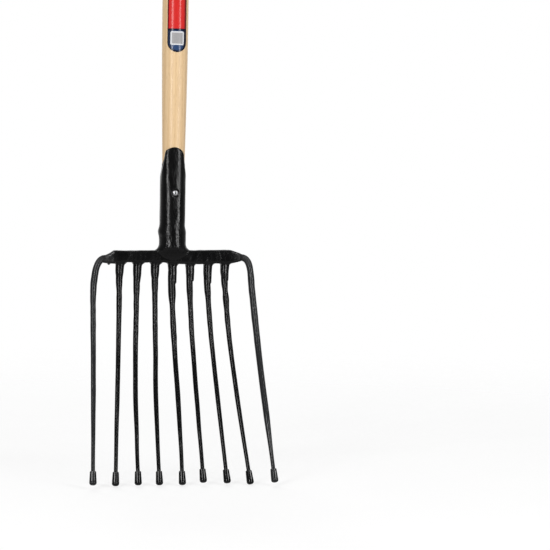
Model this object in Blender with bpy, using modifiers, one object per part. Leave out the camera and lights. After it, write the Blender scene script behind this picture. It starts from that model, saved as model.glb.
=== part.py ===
"""A long handled fork whose nine curved tines end in round knobs.

Metres, +Z up along the handle. The hollow side of the tines faces -Y. The pieces are laid out from the
centre of the crossbar, which lies on the handle's axis. A parent empty then sets the whole tool down with
the middle of its footprint at the world origin.
"""
import math

import bmesh
import bpy
from mathutils import Vector

# Clearances between pieces that touch on the real tool
SEAT_GAP = 0.0003
NOSE_GAP = 0.0008

# Crossbar: a forged bar with tapered ends; its middle lies a little above the level of the tool's centre
BAR_LENGTH = 0.1994
BAR_HEIGHT = 0.019
BAR_LIFT = 0.0005
BAR_DEPTH = 0.016
BAR_CORNER = 0.0032
BAR_TAPER = 0.0115
BAR_END_HEIGHT = 0.0110
BAR_END_DEPTH = 0.0108
BAR_END_DROP = 0.0010

# Neck: round under the socket, drawn out to the bar's thickness where it meets the bar
NECK_HEIGHT = 0.0292
NECK_RADIUS = 0.0190
NECK_FILLET = 0.0120
SPIGOT_LENGTH = 0.0100

# Socket: a tube with the same rounded tongue at the front and at the back
SOCKET_RADIUS = 0.0185
SOCKET_WAIST = 0.0002
SOCKET_BEAD = 0.0025
SOCKET_BEAD_HEIGHT = 0.0125
SOCKET_LENGTH = 0.1245
TONGUE_RADIUS = 0.0145
TONGUE_FLARE_ANGLE = math.radians(14.6)

# Handle: a round shaft that thins along a cone into the socket
SHAFT_RADIUS = 0.01965
CONE_ANGLE = math.radians(1.0885)
CONE_START = 0.2900
CONE_BLEND = 0.0700
HANDLE_LENGTH = 1.1950
BUTT_FLAT = 0.0090
BUTT_ROUNDING = 0.0120

# Socket screw, driven from the front
SCREW_HEIGHT = 0.0960
SCREW_HEAD_RADIUS = 0.0041
SCREW_HEAD_HEIGHT = 0.0024
SCREW_RECESS_RADIUS = 0.0012
SCREW_RECESS_DEPTH = 0.0012
SCREW_SHANK_RADIUS = 0.0019
SCREW_LENGTH = 0.0260
DIMPLE_DEPTH = 0.0009
DIMPLE_FLOOR = 0.0046
DIMPLE_MOUTH = 0.0063

# Label and its small sticker, on the front of the handle
LABEL_BOTTOM = 0.3042
LABEL_LENGTH = 0.1950
LABEL_HALF_WIDTH = 0.0138
LABEL_THICKNESS = 0.0003
PATCH_BOTTOM = 0.3147
PATCH_SIZE = 0.0203
PATCH_CORNER = 0.0022
PATCH_THICKNESS = 0.0003

# Inner tines: seven rods on stubs that are drawn out of the bar
INNER_TINES = 7
TINE_PITCH = 0.0265
TINE_SPLAY_ANGLE = math.radians(3.148)
TINE_DROP = 0.3235
STUB_LENGTH = 0.0290
STUB_ROOT_RADIUS = 0.0062
STUB_END_RADIUS = 0.0053
STUB_FILLET = 0.0030
TINE_START_RADIUS = 0.0048
TINE_RADIUS = 0.0035
TINE_END_RADIUS = 0.0027
TINE_DRAW = 0.0320

# Curve that all nine tines share: straight at the bar, then leaning towards its final angle
TINE_TIP_ANGLE = math.radians(26.565)
TINE_BEND = 0.0887
BEND_START = 0.0010

# Outer tines: heavier rods that leave the bar ends and turn down over a shoulder
OUTER_DROP = 0.3195
OUTER_START_RADIUS = 0.0050
OUTER_RADIUS = 0.0040
SHOULDER_LEAD = 0.0015
SHOULDER_WIDTH = 0.0185
SHOULDER_DROP = 0.0450
OUTER_SPLAY_ANGLE = math.radians(6.164)
OUTER_BEND_LEAD = 0.0390

# Knobs at the tine ends
KNOB_RADIUS = 0.0054
KNOB_LENGTH = 0.0203
KNOB_CHAMFER = 0.0006
KNOB_DOME = 0.0032

# Fineness of the round forms
ROUND_STEPS = 36
KNOB_STEPS = 16
NECK_STEPS = 32
STUB_STEPS = 12
DOME_STEPS = 4
CORNER_STEPS = 3
TINE_STEPS = 14
OUTER_TINE_STEPS = 9
SHOULDER_STEPS = 9
SMOOTH_ANGLE = math.radians(40.0)

# Heights that follow from the sizes above
BAR_TOP = BAR_LIFT + BAR_HEIGHT / 2
BAR_BOTTOM = BAR_LIFT - BAR_HEIGHT / 2
NECK_TOP = BAR_TOP + NECK_HEIGHT
SOCKET_FOOT = NECK_TOP + SEAT_GAP
SOCKET_TOP = SOCKET_FOOT + SOCKET_LENGTH
SPIGOT_TOP = NECK_TOP + SPIGOT_LENGTH
HANDLE_NOSE = SPIGOT_TOP + NOSE_GAP
HANDLE_TOP = HANDLE_NOSE + HANDLE_LENGTH
HEAD_SEAT = SOCKET_RADIUS - SOCKET_WAIST - DIMPLE_DEPTH


def clear_scene():
    """Remove what a new file holds."""
    for item in list(bpy.data.objects):
        bpy.data.objects.remove(item, do_unlink=True)


def make_collection(name):
    """Add an empty collection to the scene."""
    collection = bpy.data.collections.new(name)
    bpy.context.scene.collection.children.link(collection)
    return collection


def make_material(name, colour, roughness, metallic):
    """Principled material with plain values."""
    material = bpy.data.materials.new(name)
    material.use_nodes = True
    shader = material.node_tree.nodes["Principled BSDF"]
    shader.inputs["Base Color"].default_value = (*colour, 1.0)
    shader.inputs["Roughness"].default_value = roughness
    shader.inputs["Metallic"].default_value = metallic
    material.diffuse_color = (*colour, 1.0)
    return material


def mesh_object(name, mesh, collection, location=(0.0, 0.0, 0.0)):
    """Link a mesh as an object."""
    item = bpy.data.objects.new(name, mesh)
    item.location = location
    collection.objects.link(item)
    return item


def finish_piece(item, material):
    """Material and smooth shading for a finished piece."""
    item.data.materials.clear()
    item.data.materials.append(material)
    item.data.shade_smooth()
    item.data.set_sharp_from_angle(angle=SMOOTH_ANGLE)
    item.parent = root


def mark_as_cutter(item):
    """Keep a helper form out of renders and show it as wire."""
    item.hide_render = True
    item.display_type = "WIRE"


def add_boolean(item, other, operation):
    """Boolean of one object with another, which becomes a helper."""
    modifier = item.modifiers.new(operation.title() + " " + other.name, "BOOLEAN")
    modifier.operation = operation
    modifier.solver = "EXACT"
    modifier.object = other
    mark_as_cutter(other)


def turned(name, profile, collection, steps, location=(0.0, 0.0, 0.0), closed=False):
    """Solid of revolution about Z from (radius, height) points that run down the outer side."""
    mesh = bpy.data.meshes.new(name)
    points = [(radius, 0.0, height) for radius, height in profile]
    edges = [(index, index + 1) for index in range(len(points) - 1)]
    if closed:
        edges.append((len(points) - 1, 0))
    mesh.from_pydata(points, edges, [])
    item = mesh_object(name, mesh, collection, location)
    screw = item.modifiers.new("Turn", "SCREW")
    screw.axis = "Z"
    screw.angle = math.tau
    screw.steps = steps
    screw.render_steps = steps
    screw.use_merge_vertices = True
    screw.merge_threshold = 0.00001
    screw.use_smooth_shade = True
    return item


def mesh_from(item, name, collection):
    """Turn an object with a curve or modifiers into a plain mesh object with welded caps."""
    bpy.context.view_layer.update()
    depsgraph = bpy.context.evaluated_depsgraph_get()
    mesh = bpy.data.meshes.new_from_object(item.evaluated_get(depsgraph))
    mesh.name = name
    shape = bmesh.new()
    shape.from_mesh(mesh)
    bmesh.ops.remove_doubles(shape, verts=shape.verts, dist=0.000002)
    bmesh.ops.recalc_face_normals(shape, faces=shape.faces)
    shape.to_mesh(mesh)
    shape.free()
    placed = item.matrix_world.copy()
    bpy.data.objects.remove(item, do_unlink=True)
    solid = mesh_object(name, mesh, collection)
    solid.matrix_world = placed
    return solid


def rod(name, points, radii, collection, location):
    """Round rod along a path, with its own radius at each point."""
    curve = bpy.data.curves.new(name + " path", "CURVE")
    curve.dimensions = "3D"
    curve.twist_mode = "MINIMUM"
    curve.bevel_depth = radii[0]
    curve.bevel_resolution = 3
    curve.use_fill_caps = True
    spline = curve.splines.new("POLY")
    spline.points.add(len(points) - 1)
    for place, point, radius in zip(spline.points, points, radii):
        place.co = (*point, 1.0)
        place.radius = radius / radii[0]
    path = bpy.data.objects.new(name + " path", curve)
    path.location = location
    collection.objects.link(path)
    return mesh_from(path, name, collection)


def flat_prism(name, outline, near, far, collection):
    """Upright outline of (x, z) points, extruded along Y from near to far."""
    curve = bpy.data.curves.new(name + " outline", "CURVE")
    curve.dimensions = "2D"
    curve.fill_mode = "BOTH"
    curve.extrude = (far - near) / 2
    spline = curve.splines.new("POLY")
    spline.points.add(len(outline) - 1)
    for place, (across, height) in zip(spline.points, outline):
        place.co = (across, height, 0.0, 1.0)
    spline.use_cyclic_u = True
    sheet = bpy.data.objects.new(name + " outline", curve)
    sheet.location = (0.0, (near + far) / 2, 0.0)
    sheet.rotation_euler = (math.pi / 2, 0.0, 0.0)
    collection.objects.link(sheet)
    return mesh_from(sheet, name, collection)


def loft(name, rings, collection, location=(0.0, 0.0, 0.0)):
    """Closed solid through rings of points that all have the same count."""
    shape = bmesh.new()
    loops = [[shape.verts.new(point) for point in ring] for ring in rings]
    for upper, lower in zip(loops, loops[1:]):
        for index in range(len(upper)):
            after = (index + 1) % len(upper)
            shape.faces.new((upper[index], upper[after], lower[after], lower[index]))
    shape.faces.new(loops[0])
    shape.faces.new(loops[-1])
    bmesh.ops.triangulate(shape, faces=shape.faces)
    bmesh.ops.recalc_face_normals(shape, faces=shape.faces)
    mesh = bpy.data.meshes.new(name)
    shape.to_mesh(mesh)
    shape.free()
    mesh.shade_smooth()
    mesh.set_sharp_from_angle(angle=SMOOTH_ANGLE)
    return mesh_object(name, mesh, collection, location)


def ellipse_ring(centre, half_width, half_depth, steps, pinch=1.0):
    """Level ellipse of points about a centre; a pinch above one draws its two ends thin."""
    ring = []
    for index in range(steps):
        angle = math.tau * index / steps
        depth = half_depth * math.copysign(abs(math.sin(angle)) ** pinch, math.sin(angle))
        ring.append(centre + Vector((half_width * math.cos(angle), depth, 0.0)))
    return ring


def arc(centre_x, centre_z, radius_x, radius_z, start, end, steps):
    """Points of a round or oval stretch, with angles in degrees from +X."""
    points = []
    for index in range(steps + 1):
        angle = math.radians(start + (end - start) * index / steps)
        points.append((centre_x + radius_x * math.cos(angle), centre_z + radius_z * math.sin(angle)))
    return points


def handle_radius(height):
    """Handle radius at a height: a shaft that runs into a cone over a soft blend."""
    below = CONE_START - height
    return SHAFT_RADIUS - math.tan(CONE_ANGLE) * (below + math.hypot(below, CONE_BLEND)) / 2


def reach(depth):
    """How far a tine has swung forward at a depth below the start of its bend."""
    depth = max(depth, 0.0)
    return math.tan(TINE_TIP_ANGLE) * (math.hypot(depth, TINE_BEND) - TINE_BEND)


def inner_point(place, height):
    """Centre of an inner tine at a height; place counts from the middle tine."""
    forward = reach(BAR_BOTTOM - BEND_START - height)
    pitch = TINE_PITCH + math.tan(TINE_SPLAY_ANGLE) * forward
    return Vector((place * pitch, -forward, height))


def outer_reach(height):
    """How far an outer tine has swung forward at a height; it starts in line with the bar."""
    bend_start = BAR_BOTTOM - BEND_START + OUTER_BEND_LEAD
    return reach(bend_start - height) - reach(bend_start + BAR_END_DROP)


def outer_point(side, height):
    """Centre of an outer tine at a height below its shoulder."""
    forward = outer_reach(height)
    beyond = math.tan(OUTER_SPLAY_ANGLE) * (forward - outer_reach(shoulder_foot()))
    return Vector((side * (shoulder_start() + SHOULDER_WIDTH + beyond), -forward, height))


def rod_start():
    """Distance from the middle to where the outer rods begin."""
    return BAR_LENGTH / 2 + SEAT_GAP


def shoulder_start():
    """Distance from the middle to where the outer rods begin to turn down."""
    return rod_start() + SHOULDER_LEAD


def shoulder_foot():
    """Height at which an outer tine leaves its shoulder."""
    return -BAR_END_DROP - SHOULDER_DROP


def bar_ring(across, depth, height, lift):
    """Upright rectangle with round corners across the bar, at a distance from its middle."""
    side = depth / 2 - BAR_CORNER
    top = height / 2 - BAR_CORNER
    outline = []
    corners = ((side, top, 0.0), (-side, top, 90.0), (-side, -top, 180.0), (side, -top, 270.0))
    for centre_y, centre_z, start in corners:
        outline += arc(centre_y, centre_z, BAR_CORNER, BAR_CORNER, start, start + 90.0, CORNER_STEPS)
    return [Vector((across, point_y, point_z + lift)) for point_y, point_z in outline]


def make_bar():
    """Forged bar with round long edges, whose ends taper in height and in depth."""
    end = BAR_LENGTH / 2
    straight = end - BAR_TAPER
    rings = []
    for across in (-end, -straight, straight, end):
        if abs(across) == end:
            rings.append(bar_ring(across, BAR_END_DEPTH, BAR_END_HEIGHT, -BAR_END_DROP))
        else:
            rings.append(bar_ring(across, BAR_DEPTH, BAR_HEIGHT, BAR_LIFT))
    return loft("crossbar", rings, pieces)


def neck_width(height):
    """Half width of the neck at a height above the bar's top, with its fillet onto the bar."""
    if height >= NECK_FILLET:
        return NECK_RADIUS
    rise = NECK_FILLET - max(height, 0.0)
    return NECK_RADIUS + NECK_FILLET - math.sqrt(NECK_FILLET ** 2 - rise ** 2)


def neck_depth(height):
    """Half depth of the neck: it rounds in from the full radius to a web on the bar's faces."""
    share = (height + 0.8 * BAR_HEIGHT) / (NECK_FILLET * 0.75 + 0.8 * BAR_HEIGHT)
    share = min(max(share, 0.0), 1.0)
    thin = BAR_DEPTH / 2 - SEAT_GAP
    return thin + (NECK_RADIUS - thin) * share ** 2 * (2.0 - share)


def make_neck():
    """Loft from the bar's web up to the round seat under the socket."""
    rings = []
    levels = [-0.8 * BAR_HEIGHT, -0.55 * BAR_HEIGHT, -0.3 * BAR_HEIGHT, -0.1 * BAR_HEIGHT]
    levels += [NECK_FILLET * part for part in (0.03, 0.1, 0.2, 0.4, 0.65, 1.0)]
    for level in reversed(levels):
        centre = Vector((0.0, 0.0, BAR_TOP + level))
        width = neck_width(level)
        if level < 0.0:
            width = NECK_RADIUS + (width - NECK_RADIUS) * (1.0 + level / BAR_HEIGHT)
        pinch = 1.0 + (width - NECK_RADIUS) / NECK_FILLET
        rings.append(ellipse_ring(centre, width, neck_depth(level), NECK_STEPS, pinch))
    swell = NECK_HEIGHT - NECK_FILLET
    for part, bulge in ((0.4, 0.15), (0.7, 0.4), (0.9, 0.8), (1.0, 1.0)):
        centre = Vector((0.0, 0.0, BAR_TOP + NECK_FILLET + swell * part))
        radius = NECK_RADIUS + (SOCKET_RADIUS + SOCKET_BEAD - NECK_RADIUS) * bulge
        rings.insert(0, ellipse_ring(centre, radius, radius, NECK_STEPS))
    return loft("neck form", rings, helpers)


def make_spigot():
    """Round spigot on the neck that fills the foot of the socket."""
    radius = handle_radius(HANDLE_NOSE)
    base = BAR_TOP + NECK_FILLET
    profile = [(0.0, SPIGOT_TOP), (radius - 0.001, SPIGOT_TOP), (radius, SPIGOT_TOP - 0.001)]
    profile += [(radius, base), (0.0, base)]
    return turned("spigot form", profile, helpers, ROUND_STEPS)


def make_stub(place):
    """Stub drawn out of the bar's underside, filleted where it leaves the bar."""
    rings = []
    joint = BAR_BOTTOM - STUB_LENGTH
    heights = [0.3 * BAR_BOTTOM, BAR_BOTTOM - 0.02 * STUB_FILLET]
    heights += [BAR_BOTTOM - STUB_FILLET * part for part in (0.2, 0.5, 1.0)]
    heights += [BAR_BOTTOM - STUB_FILLET - (STUB_LENGTH - STUB_FILLET) * part for part in (0.35, 0.75, 1.0)]
    for height in heights:
        centre = inner_point(place, height)
        share = min(max((BAR_BOTTOM - height) / STUB_LENGTH, 0.0), 1.0)
        radius = STUB_ROOT_RADIUS + (STUB_END_RADIUS - STUB_ROOT_RADIUS) * share
        rise = min(max(STUB_FILLET - (BAR_BOTTOM - height), 0.0), STUB_FILLET)
        flare = STUB_FILLET - math.sqrt(STUB_FILLET ** 2 - rise ** 2)
        rings.append(ellipse_ring(centre, radius + flare, radius, STUB_STEPS))
    axis = (inner_point(place, joint) - inner_point(place, joint + 0.001)).normalized()
    foot = inner_point(place, joint)
    rings[-1] = [point - Vector((0, 0, 1)) * ((point - foot).dot(axis) / axis.z) for point in rings[-1]]
    return loft("stub form {}".format(place), rings, helpers)


def make_crossbar(material):
    """Bar, neck, spigot and stubs as one forging."""
    bar = make_bar()
    add_boolean(bar, make_neck(), "UNION")
    add_boolean(bar, make_spigot(), "UNION")
    middle = INNER_TINES // 2
    for place in range(-middle, middle + 1):
        add_boolean(bar, make_stub(place), "UNION")
    finish_piece(bar, material)


def make_knob(name, location, axis):
    """Turned knob with a sharp shoulder and a round end, along an axis from its upper face."""
    body = KNOB_LENGTH - KNOB_DOME
    profile = [(0.0, 0.0), (KNOB_RADIUS - KNOB_CHAMFER, 0.0), (KNOB_RADIUS, -KNOB_CHAMFER)]
    profile += arc(0.0, -body, KNOB_RADIUS, KNOB_DOME, 0.0, -90.0, DOME_STEPS)
    profile[-1] = (0.0, -KNOB_LENGTH)
    knob = turned(name, profile, helpers, KNOB_STEPS, location)
    knob.rotation_mode = "QUATERNION"
    knob.rotation_quaternion = Vector((0.0, 0.0, -1.0)).rotation_difference(axis)
    return knob


def thinning(travel, length, start, body, end):
    """Rod radius after some travel: drawn down at the start and thinned again before the knob."""
    if travel < TINE_DRAW:
        share = travel / TINE_DRAW
        return start + (body - start) * math.sin(share * math.pi / 2)
    share = max(travel / length - 0.55, 0.0) / 0.45
    return body + (end - body) * min(share, 1.0)


def make_tine(number, path, start, body, material):
    """Tine along a path of points that ends at the lowest point of its knob."""
    name = "tine_{}".format(number)
    tip = path[-1]
    axis = (path[-1] - path[-2]).normalized()
    knob_top = tip - axis * KNOB_LENGTH
    points = [point for point in path if (point - tip).length > 1.25 * KNOB_LENGTH]
    points += [knob_top, knob_top + axis * (KNOB_LENGTH / 2)]
    travel = [0.0]
    for before, after in zip(points, points[1:]):
        travel.append(travel[-1] + (after - before).length)
    radii = [thinning(step, travel[-2], start, body, TINE_END_RADIUS) for step in travel]
    local = [point - points[0] for point in points]
    tine = rod(name, local, radii, pieces, points[0])
    add_boolean(tine, make_knob(name + " knob form", knob_top, axis), "UNION")
    finish_piece(tine, material)


def eased(steps, power):
    """Shares from 0 to 1 that lie closer together at the start, where a tine bends most."""
    return [(step / steps) ** power for step in range(steps + 1)]


def make_inner_tines(material):
    """Seven tines from the stubs' ends to their knobs."""
    middle = INNER_TINES // 2
    joint = BAR_BOTTOM - STUB_LENGTH
    fall = TINE_DROP + joint
    drops = eased(TINE_STEPS, 1.5)
    for place in range(-middle, middle + 1):
        seat = inner_point(place, joint)
        axis = (seat - inner_point(place, joint + 0.001)).normalized()
        path = [inner_point(place, joint - fall * drop) for drop in drops]
        path = [point + axis * SEAT_GAP for point in path]
        number = place + middle + 2
        make_tine(number, path, TINE_START_RADIUS, TINE_RADIUS, material)


def make_outer_tines(material):
    """Two tines from the bar's ends, over their shoulders, to their knobs."""
    fall = OUTER_DROP + shoulder_foot()
    for side, number in ((-1, 1), (1, INNER_TINES + 2)):
        path = [Vector((side * rod_start(), 0.0, -BAR_END_DROP))]
        shoulder = arc(
            shoulder_start(), shoulder_foot(), SHOULDER_WIDTH, SHOULDER_DROP, 90.0, 8.0, SHOULDER_STEPS
        )
        for across, height in shoulder:
            path.append(Vector((side * across, -outer_reach(height), height)))
        for drop in eased(OUTER_TINE_STEPS, 1.1):
            path.append(outer_point(side, shoulder_foot() - fall * drop))
        make_tine(number, path, OUTER_START_RADIUS, OUTER_RADIUS, material)


def make_handle(material):
    """Turned handle from its domed butt down to the nose inside the socket."""
    rounding = handle_radius(HANDLE_TOP) - BUTT_FLAT
    profile = [(0.0, HANDLE_TOP)]
    profile += arc(BUTT_FLAT, HANDLE_TOP - BUTT_ROUNDING, rounding, BUTT_ROUNDING, 90.0, 0.0, 5)
    heights = [HANDLE_TOP * 0.75, HANDLE_TOP * 0.5, CONE_START + 1.6 * CONE_BLEND]
    heights += [CONE_START + CONE_BLEND * part for part in (0.8, 0.3, -0.2, -0.7, -1.3)]
    heights += [SOCKET_TOP, HANDLE_NOSE]
    profile += [(handle_radius(height), height) for height in heights]
    profile.append((0.0, HANDLE_NOSE))
    handle = turned("handle", profile, pieces, ROUND_STEPS)
    add_boolean(handle, screw_cutter("handle pilot cutter", SCREW_LENGTH + SEAT_GAP), "DIFFERENCE")
    finish_piece(handle, material)


def socket_outer(height):
    """Outside radius of the socket, with a slight waist and the swelling at its foot."""
    up = height - SOCKET_FOOT
    waist = SOCKET_WAIST * math.sin(math.pi * min(up / SOCKET_LENGTH, 1.0))
    swell = max(1.0 - up / SOCKET_BEAD_HEIGHT, 0.0)
    return SOCKET_RADIUS - waist + SOCKET_BEAD * swell ** 2


def make_socket(material):
    """Tapered tube, cut to its tongues, dimpled and drilled for the screw."""
    parts = (1.1, 0.8, 0.6, 0.4, 0.2, 0.1, 0.06, 0.03, 0.0)
    levels = [SOCKET_FOOT + SOCKET_LENGTH * part for part in parts]
    outer = [(socket_outer(level), level) for level in levels]
    inner = [(handle_radius(HANDLE_NOSE) + SEAT_GAP, SOCKET_FOOT)]
    for level in (HANDLE_NOSE, SOCKET_FOOT + 0.55 * SOCKET_LENGTH, levels[0]):
        inner.append((handle_radius(level) + SEAT_GAP, level))
    socket = turned("socket", outer + inner, pieces, ROUND_STEPS, closed=True)
    add_boolean(socket, tongue_cutter(), "INTERSECT")
    add_boolean(socket, dimple_cutter(), "DIFFERENCE")
    add_boolean(socket, screw_cutter("socket hole cutter", SCREW_LENGTH / 2), "DIFFERENCE")
    finish_piece(socket, material)


def tongue_cutter():
    """Prism along Y that leaves the round tongues at the front and at the back."""
    centre = SOCKET_TOP - TONGUE_RADIUS
    reach_out = 1.5 * SOCKET_RADIUS
    slope = math.degrees(TONGUE_FLARE_ANGLE)
    outline = arc(0.0, centre, TONGUE_RADIUS, TONGUE_RADIUS, slope, 180.0 - slope, 12)
    run_down = (reach_out - outline[0][0]) / math.tan(TONGUE_FLARE_ANGLE)
    foot = min(outline[0][1] - run_down, SOCKET_FOOT) - SOCKET_RADIUS
    outline += [(-reach_out, outline[0][1] - run_down), (-reach_out, foot), (reach_out, foot)]
    outline.append((reach_out, outline[0][1] - run_down))
    return flat_prism("tongue cutter", outline, -reach_out, reach_out, helpers)


def facing_front(item, height, forward):
    """Turn a form that was modelled along +Z so that it faces -Y at a height on the handle's axis."""
    item.location = (0.0, -forward, height)
    item.rotation_euler = (math.pi / 2, 0.0, 0.0)
    return item


def dimple_cutter():
    """Cone that presses a flat floored dimple into the socket's front."""
    far = DIMPLE_DEPTH * 4
    spread = DIMPLE_FLOOR + (DIMPLE_MOUTH - DIMPLE_FLOOR) * far / DIMPLE_DEPTH
    profile = [(0.0, far), (spread, far), (DIMPLE_FLOOR, 0.0), (0.0, 0.0)]
    cutter = turned("dimple cutter", profile, helpers, 24)
    return facing_front(cutter, SCREW_HEIGHT, HEAD_SEAT)


def screw_cutter(name, length):
    """Clearance hole for the screw's shank."""
    radius = SCREW_SHANK_RADIUS + SEAT_GAP
    profile = [(0.0, SOCKET_RADIUS), (radius, SOCKET_RADIUS), (radius, -length), (0.0, -length)]
    cutter = turned(name, profile, helpers, KNOB_STEPS)
    return facing_front(cutter, SCREW_HEIGHT, HEAD_SEAT)


def make_screw(material):
    """Round headed screw with a drive recess, seated in the dimple."""
    dome = arc(0.0, SEAT_GAP, SCREW_HEAD_RADIUS, SCREW_HEAD_HEIGHT, 80.0, 0.0, 6)
    rim = [point for point in dome if point[0] > SCREW_RECESS_RADIUS * 1.15]
    lip = SEAT_GAP + SCREW_HEAD_HEIGHT * math.sqrt(1 - (SCREW_RECESS_RADIUS / SCREW_HEAD_RADIUS) ** 2)
    profile = [(0.0, lip - SCREW_RECESS_DEPTH), (SCREW_RECESS_RADIUS * 0.8, lip - SCREW_RECESS_DEPTH)]
    profile += [(SCREW_RECESS_RADIUS, lip)] + rim
    profile += [(SCREW_SHANK_RADIUS, SEAT_GAP), (SCREW_SHANK_RADIUS, -0.8 * SCREW_LENGTH)]
    profile.append((0.0, -SCREW_LENGTH))
    screw = turned("socket_screw", profile, pieces, KNOB_STEPS)
    facing_front(screw, SCREW_HEIGHT, HEAD_SEAT)
    finish_piece(screw, material)


def handle_skin(name, bottom, top, lift, thickness, outline, material):
    """Thin sheet that follows the handle's round front inside an outline."""
    rows = 7
    margin = SHAFT_RADIUS / 2
    heights = [top + margin - (top - bottom + 2 * margin) * row / rows for row in range(rows + 1)]
    outer = [(handle_radius(height) + lift + thickness, height) for height in heights]
    inner = [(handle_radius(height) + lift, height) for height in reversed(heights)]
    skin = turned(name, outer + inner, pieces, 2 * ROUND_STEPS, closed=True)
    cutter = flat_prism(name + " cutter", outline, -2.0 * SHAFT_RADIUS, 0.0, helpers)
    add_boolean(skin, cutter, "INTERSECT")
    finish_piece(skin, material)


def make_label(material):
    """Long label with a half round at each end."""
    width = LABEL_HALF_WIDTH
    top = LABEL_BOTTOM + LABEL_LENGTH
    outline = arc(0.0, top - width, width, width, 0.0, 180.0, 10)
    outline += arc(0.0, LABEL_BOTTOM + width, width, width, 180.0, 360.0, 10)
    handle_skin("handle_label", LABEL_BOTTOM, top, SEAT_GAP, LABEL_THICKNESS, outline, material)


def make_patch(material):
    """Small square sticker with round corners on the label."""
    top = PATCH_BOTTOM + PATCH_SIZE
    side = PATCH_SIZE / 2 - PATCH_CORNER
    outline = []
    for across, height, start in (
        (side, top - PATCH_CORNER, 0.0),
        (-side, top - PATCH_CORNER, 90.0),
        (-side, PATCH_BOTTOM + PATCH_CORNER, 180.0),
        (side, PATCH_BOTTOM + PATCH_CORNER, 270.0),
    ):
        outline += arc(across, height, PATCH_CORNER, PATCH_CORNER, start, start + 90.0, 3)
    lift = 2 * SEAT_GAP + LABEL_THICKNESS
    handle_skin("label_sticker", PATCH_BOTTOM, top, lift, PATCH_THICKNESS, outline, material)


def set_down():
    """Move the root so that the middle of the tool's footprint is the world origin."""
    bpy.context.view_layer.update()
    depsgraph = bpy.context.evaluated_depsgraph_get()
    low = Vector((math.inf, math.inf, math.inf))
    high = -low
    for item in pieces.objects:
        if item.type != "MESH":
            continue
        solid = item.evaluated_get(depsgraph)
        for corner in solid.bound_box:
            place = solid.matrix_world @ Vector(corner)
            low = Vector(map(min, low, place))
            high = Vector(map(max, high, place))
    root.location = (-(low.x + high.x) / 2, -(low.y + high.y) / 2, -low.z)


clear_scene()
pieces = make_collection("knob ended fork")
helpers = make_collection("cutters and joined forms")
root = bpy.data.objects.new("tool root", None)
pieces.objects.link(root)

black_paint = make_material("black paint", (0.012, 0.012, 0.013), 0.38, 0.0)
ash_wood = make_material("varnished ash", (0.70, 0.50, 0.29), 0.35, 0.0)
bright_steel = make_material("bright steel", (0.80, 0.80, 0.80), 0.25, 1.0)
red_label = make_material("red label", (0.68, 0.035, 0.040), 0.30, 0.0)
pale_sticker = make_material("pale sticker", (0.80, 0.80, 0.80), 0.50, 0.0)

make_crossbar(black_paint)
make_inner_tines(black_paint)
make_outer_tines(black_paint)
make_socket(black_paint)
make_handle(ash_wood)
make_screw(bright_steel)
make_label(red_label)
make_patch(pale_sticker)
for helper in helpers.objects:
    helper.parent = root
set_down()
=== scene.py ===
"""A nine tined potato fork, dressed: rough forged steel under black paint, varnished ash, a bare label.

Shapes are laid out in metres from the centre of the crossbar, which lies on the handle's axis, with the
hollow side of the tines facing -Y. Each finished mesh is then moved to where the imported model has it.
"""
import math

import bmesh
import bpy
from mathutils import Matrix, Vector, noise


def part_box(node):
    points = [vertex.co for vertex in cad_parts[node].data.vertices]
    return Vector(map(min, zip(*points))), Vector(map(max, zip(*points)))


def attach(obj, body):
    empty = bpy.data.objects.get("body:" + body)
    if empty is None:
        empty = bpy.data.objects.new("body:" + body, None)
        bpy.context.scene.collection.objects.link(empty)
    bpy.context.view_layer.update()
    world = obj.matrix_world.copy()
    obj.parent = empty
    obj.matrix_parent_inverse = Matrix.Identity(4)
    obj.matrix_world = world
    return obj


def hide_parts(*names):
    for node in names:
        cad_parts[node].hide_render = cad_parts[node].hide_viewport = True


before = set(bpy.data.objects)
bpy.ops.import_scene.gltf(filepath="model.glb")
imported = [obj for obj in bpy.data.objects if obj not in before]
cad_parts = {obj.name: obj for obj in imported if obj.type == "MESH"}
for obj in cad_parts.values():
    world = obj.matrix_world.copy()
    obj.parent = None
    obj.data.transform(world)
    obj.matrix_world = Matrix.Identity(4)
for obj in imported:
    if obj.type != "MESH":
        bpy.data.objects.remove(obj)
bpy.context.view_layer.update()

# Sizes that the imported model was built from, some of them measured again since
BAR_TOP = 0.010
BAR_BOTTOM = -0.009
BAR_HALF_DEPTH = 0.008
BAR_END_DROP = 0.0010
NECK_FILLET = 0.0112
SOCKET_FOOT = 0.0395
SOCKET_TOP = 0.1640
TONGUE_RADIUS = 0.0147
TONGUE_FLARE = 0.2605
SHAFT_RADIUS = 0.01965
CONE_RATE = 0.0190
CONE_START = 0.2900
CONE_BLEND = 0.0700
HANDLE_NOSE = 0.0500
HANDLE_TOP = 1.2450
BUTT_FLAT = 0.0090
BUTT_ROUNDING = 0.0120
SCREW_HEIGHT = 0.0965
SCREW_HEAD_RADIUS = 0.0041
SCREW_HEAD_HEIGHT = 0.0024
SCREW_RECESS_RADIUS = 0.0012
SCREW_SHANK_RADIUS = 0.0019
HEAD_SEAT = 0.0174
DIMPLE_SPAN = (0.0046, 0.0066)
LABEL_BOTTOM = 0.3042
LABEL_TOP = 0.5005
LABEL_HALF_WIDTH = 0.0140
LABEL_SPLIT = 0.3387
PATCH_BOTTOM = 0.3147
PATCH_SIZE = 0.0200
PATCH_CORNER = 0.0022
TINE_PITCH = 0.0265
TINE_SPLAY = 0.055
TINE_DROP = 0.3235
TINE_TIP_SLOPE = 0.50
TINE_BEND = 0.0887
BEND_HEIGHT = -0.0100
STUB_LENGTH = 0.0290
OUTER_DROP = 0.3195
OUTER_BEND_HEIGHT = 0.0290
OUTER_SPLAY = 0.108
SHOULDER_START = 0.1015
SHOULDER_FOOT = -0.0460
SHOULDER_WIDTH = 0.0185
SHOULDER_DROP = 0.0450
KNOB_RADIUS = 0.0053
KNOB_NECK_RADIUS = 0.0045
KNOB_LENGTH = 0.0200
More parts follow.
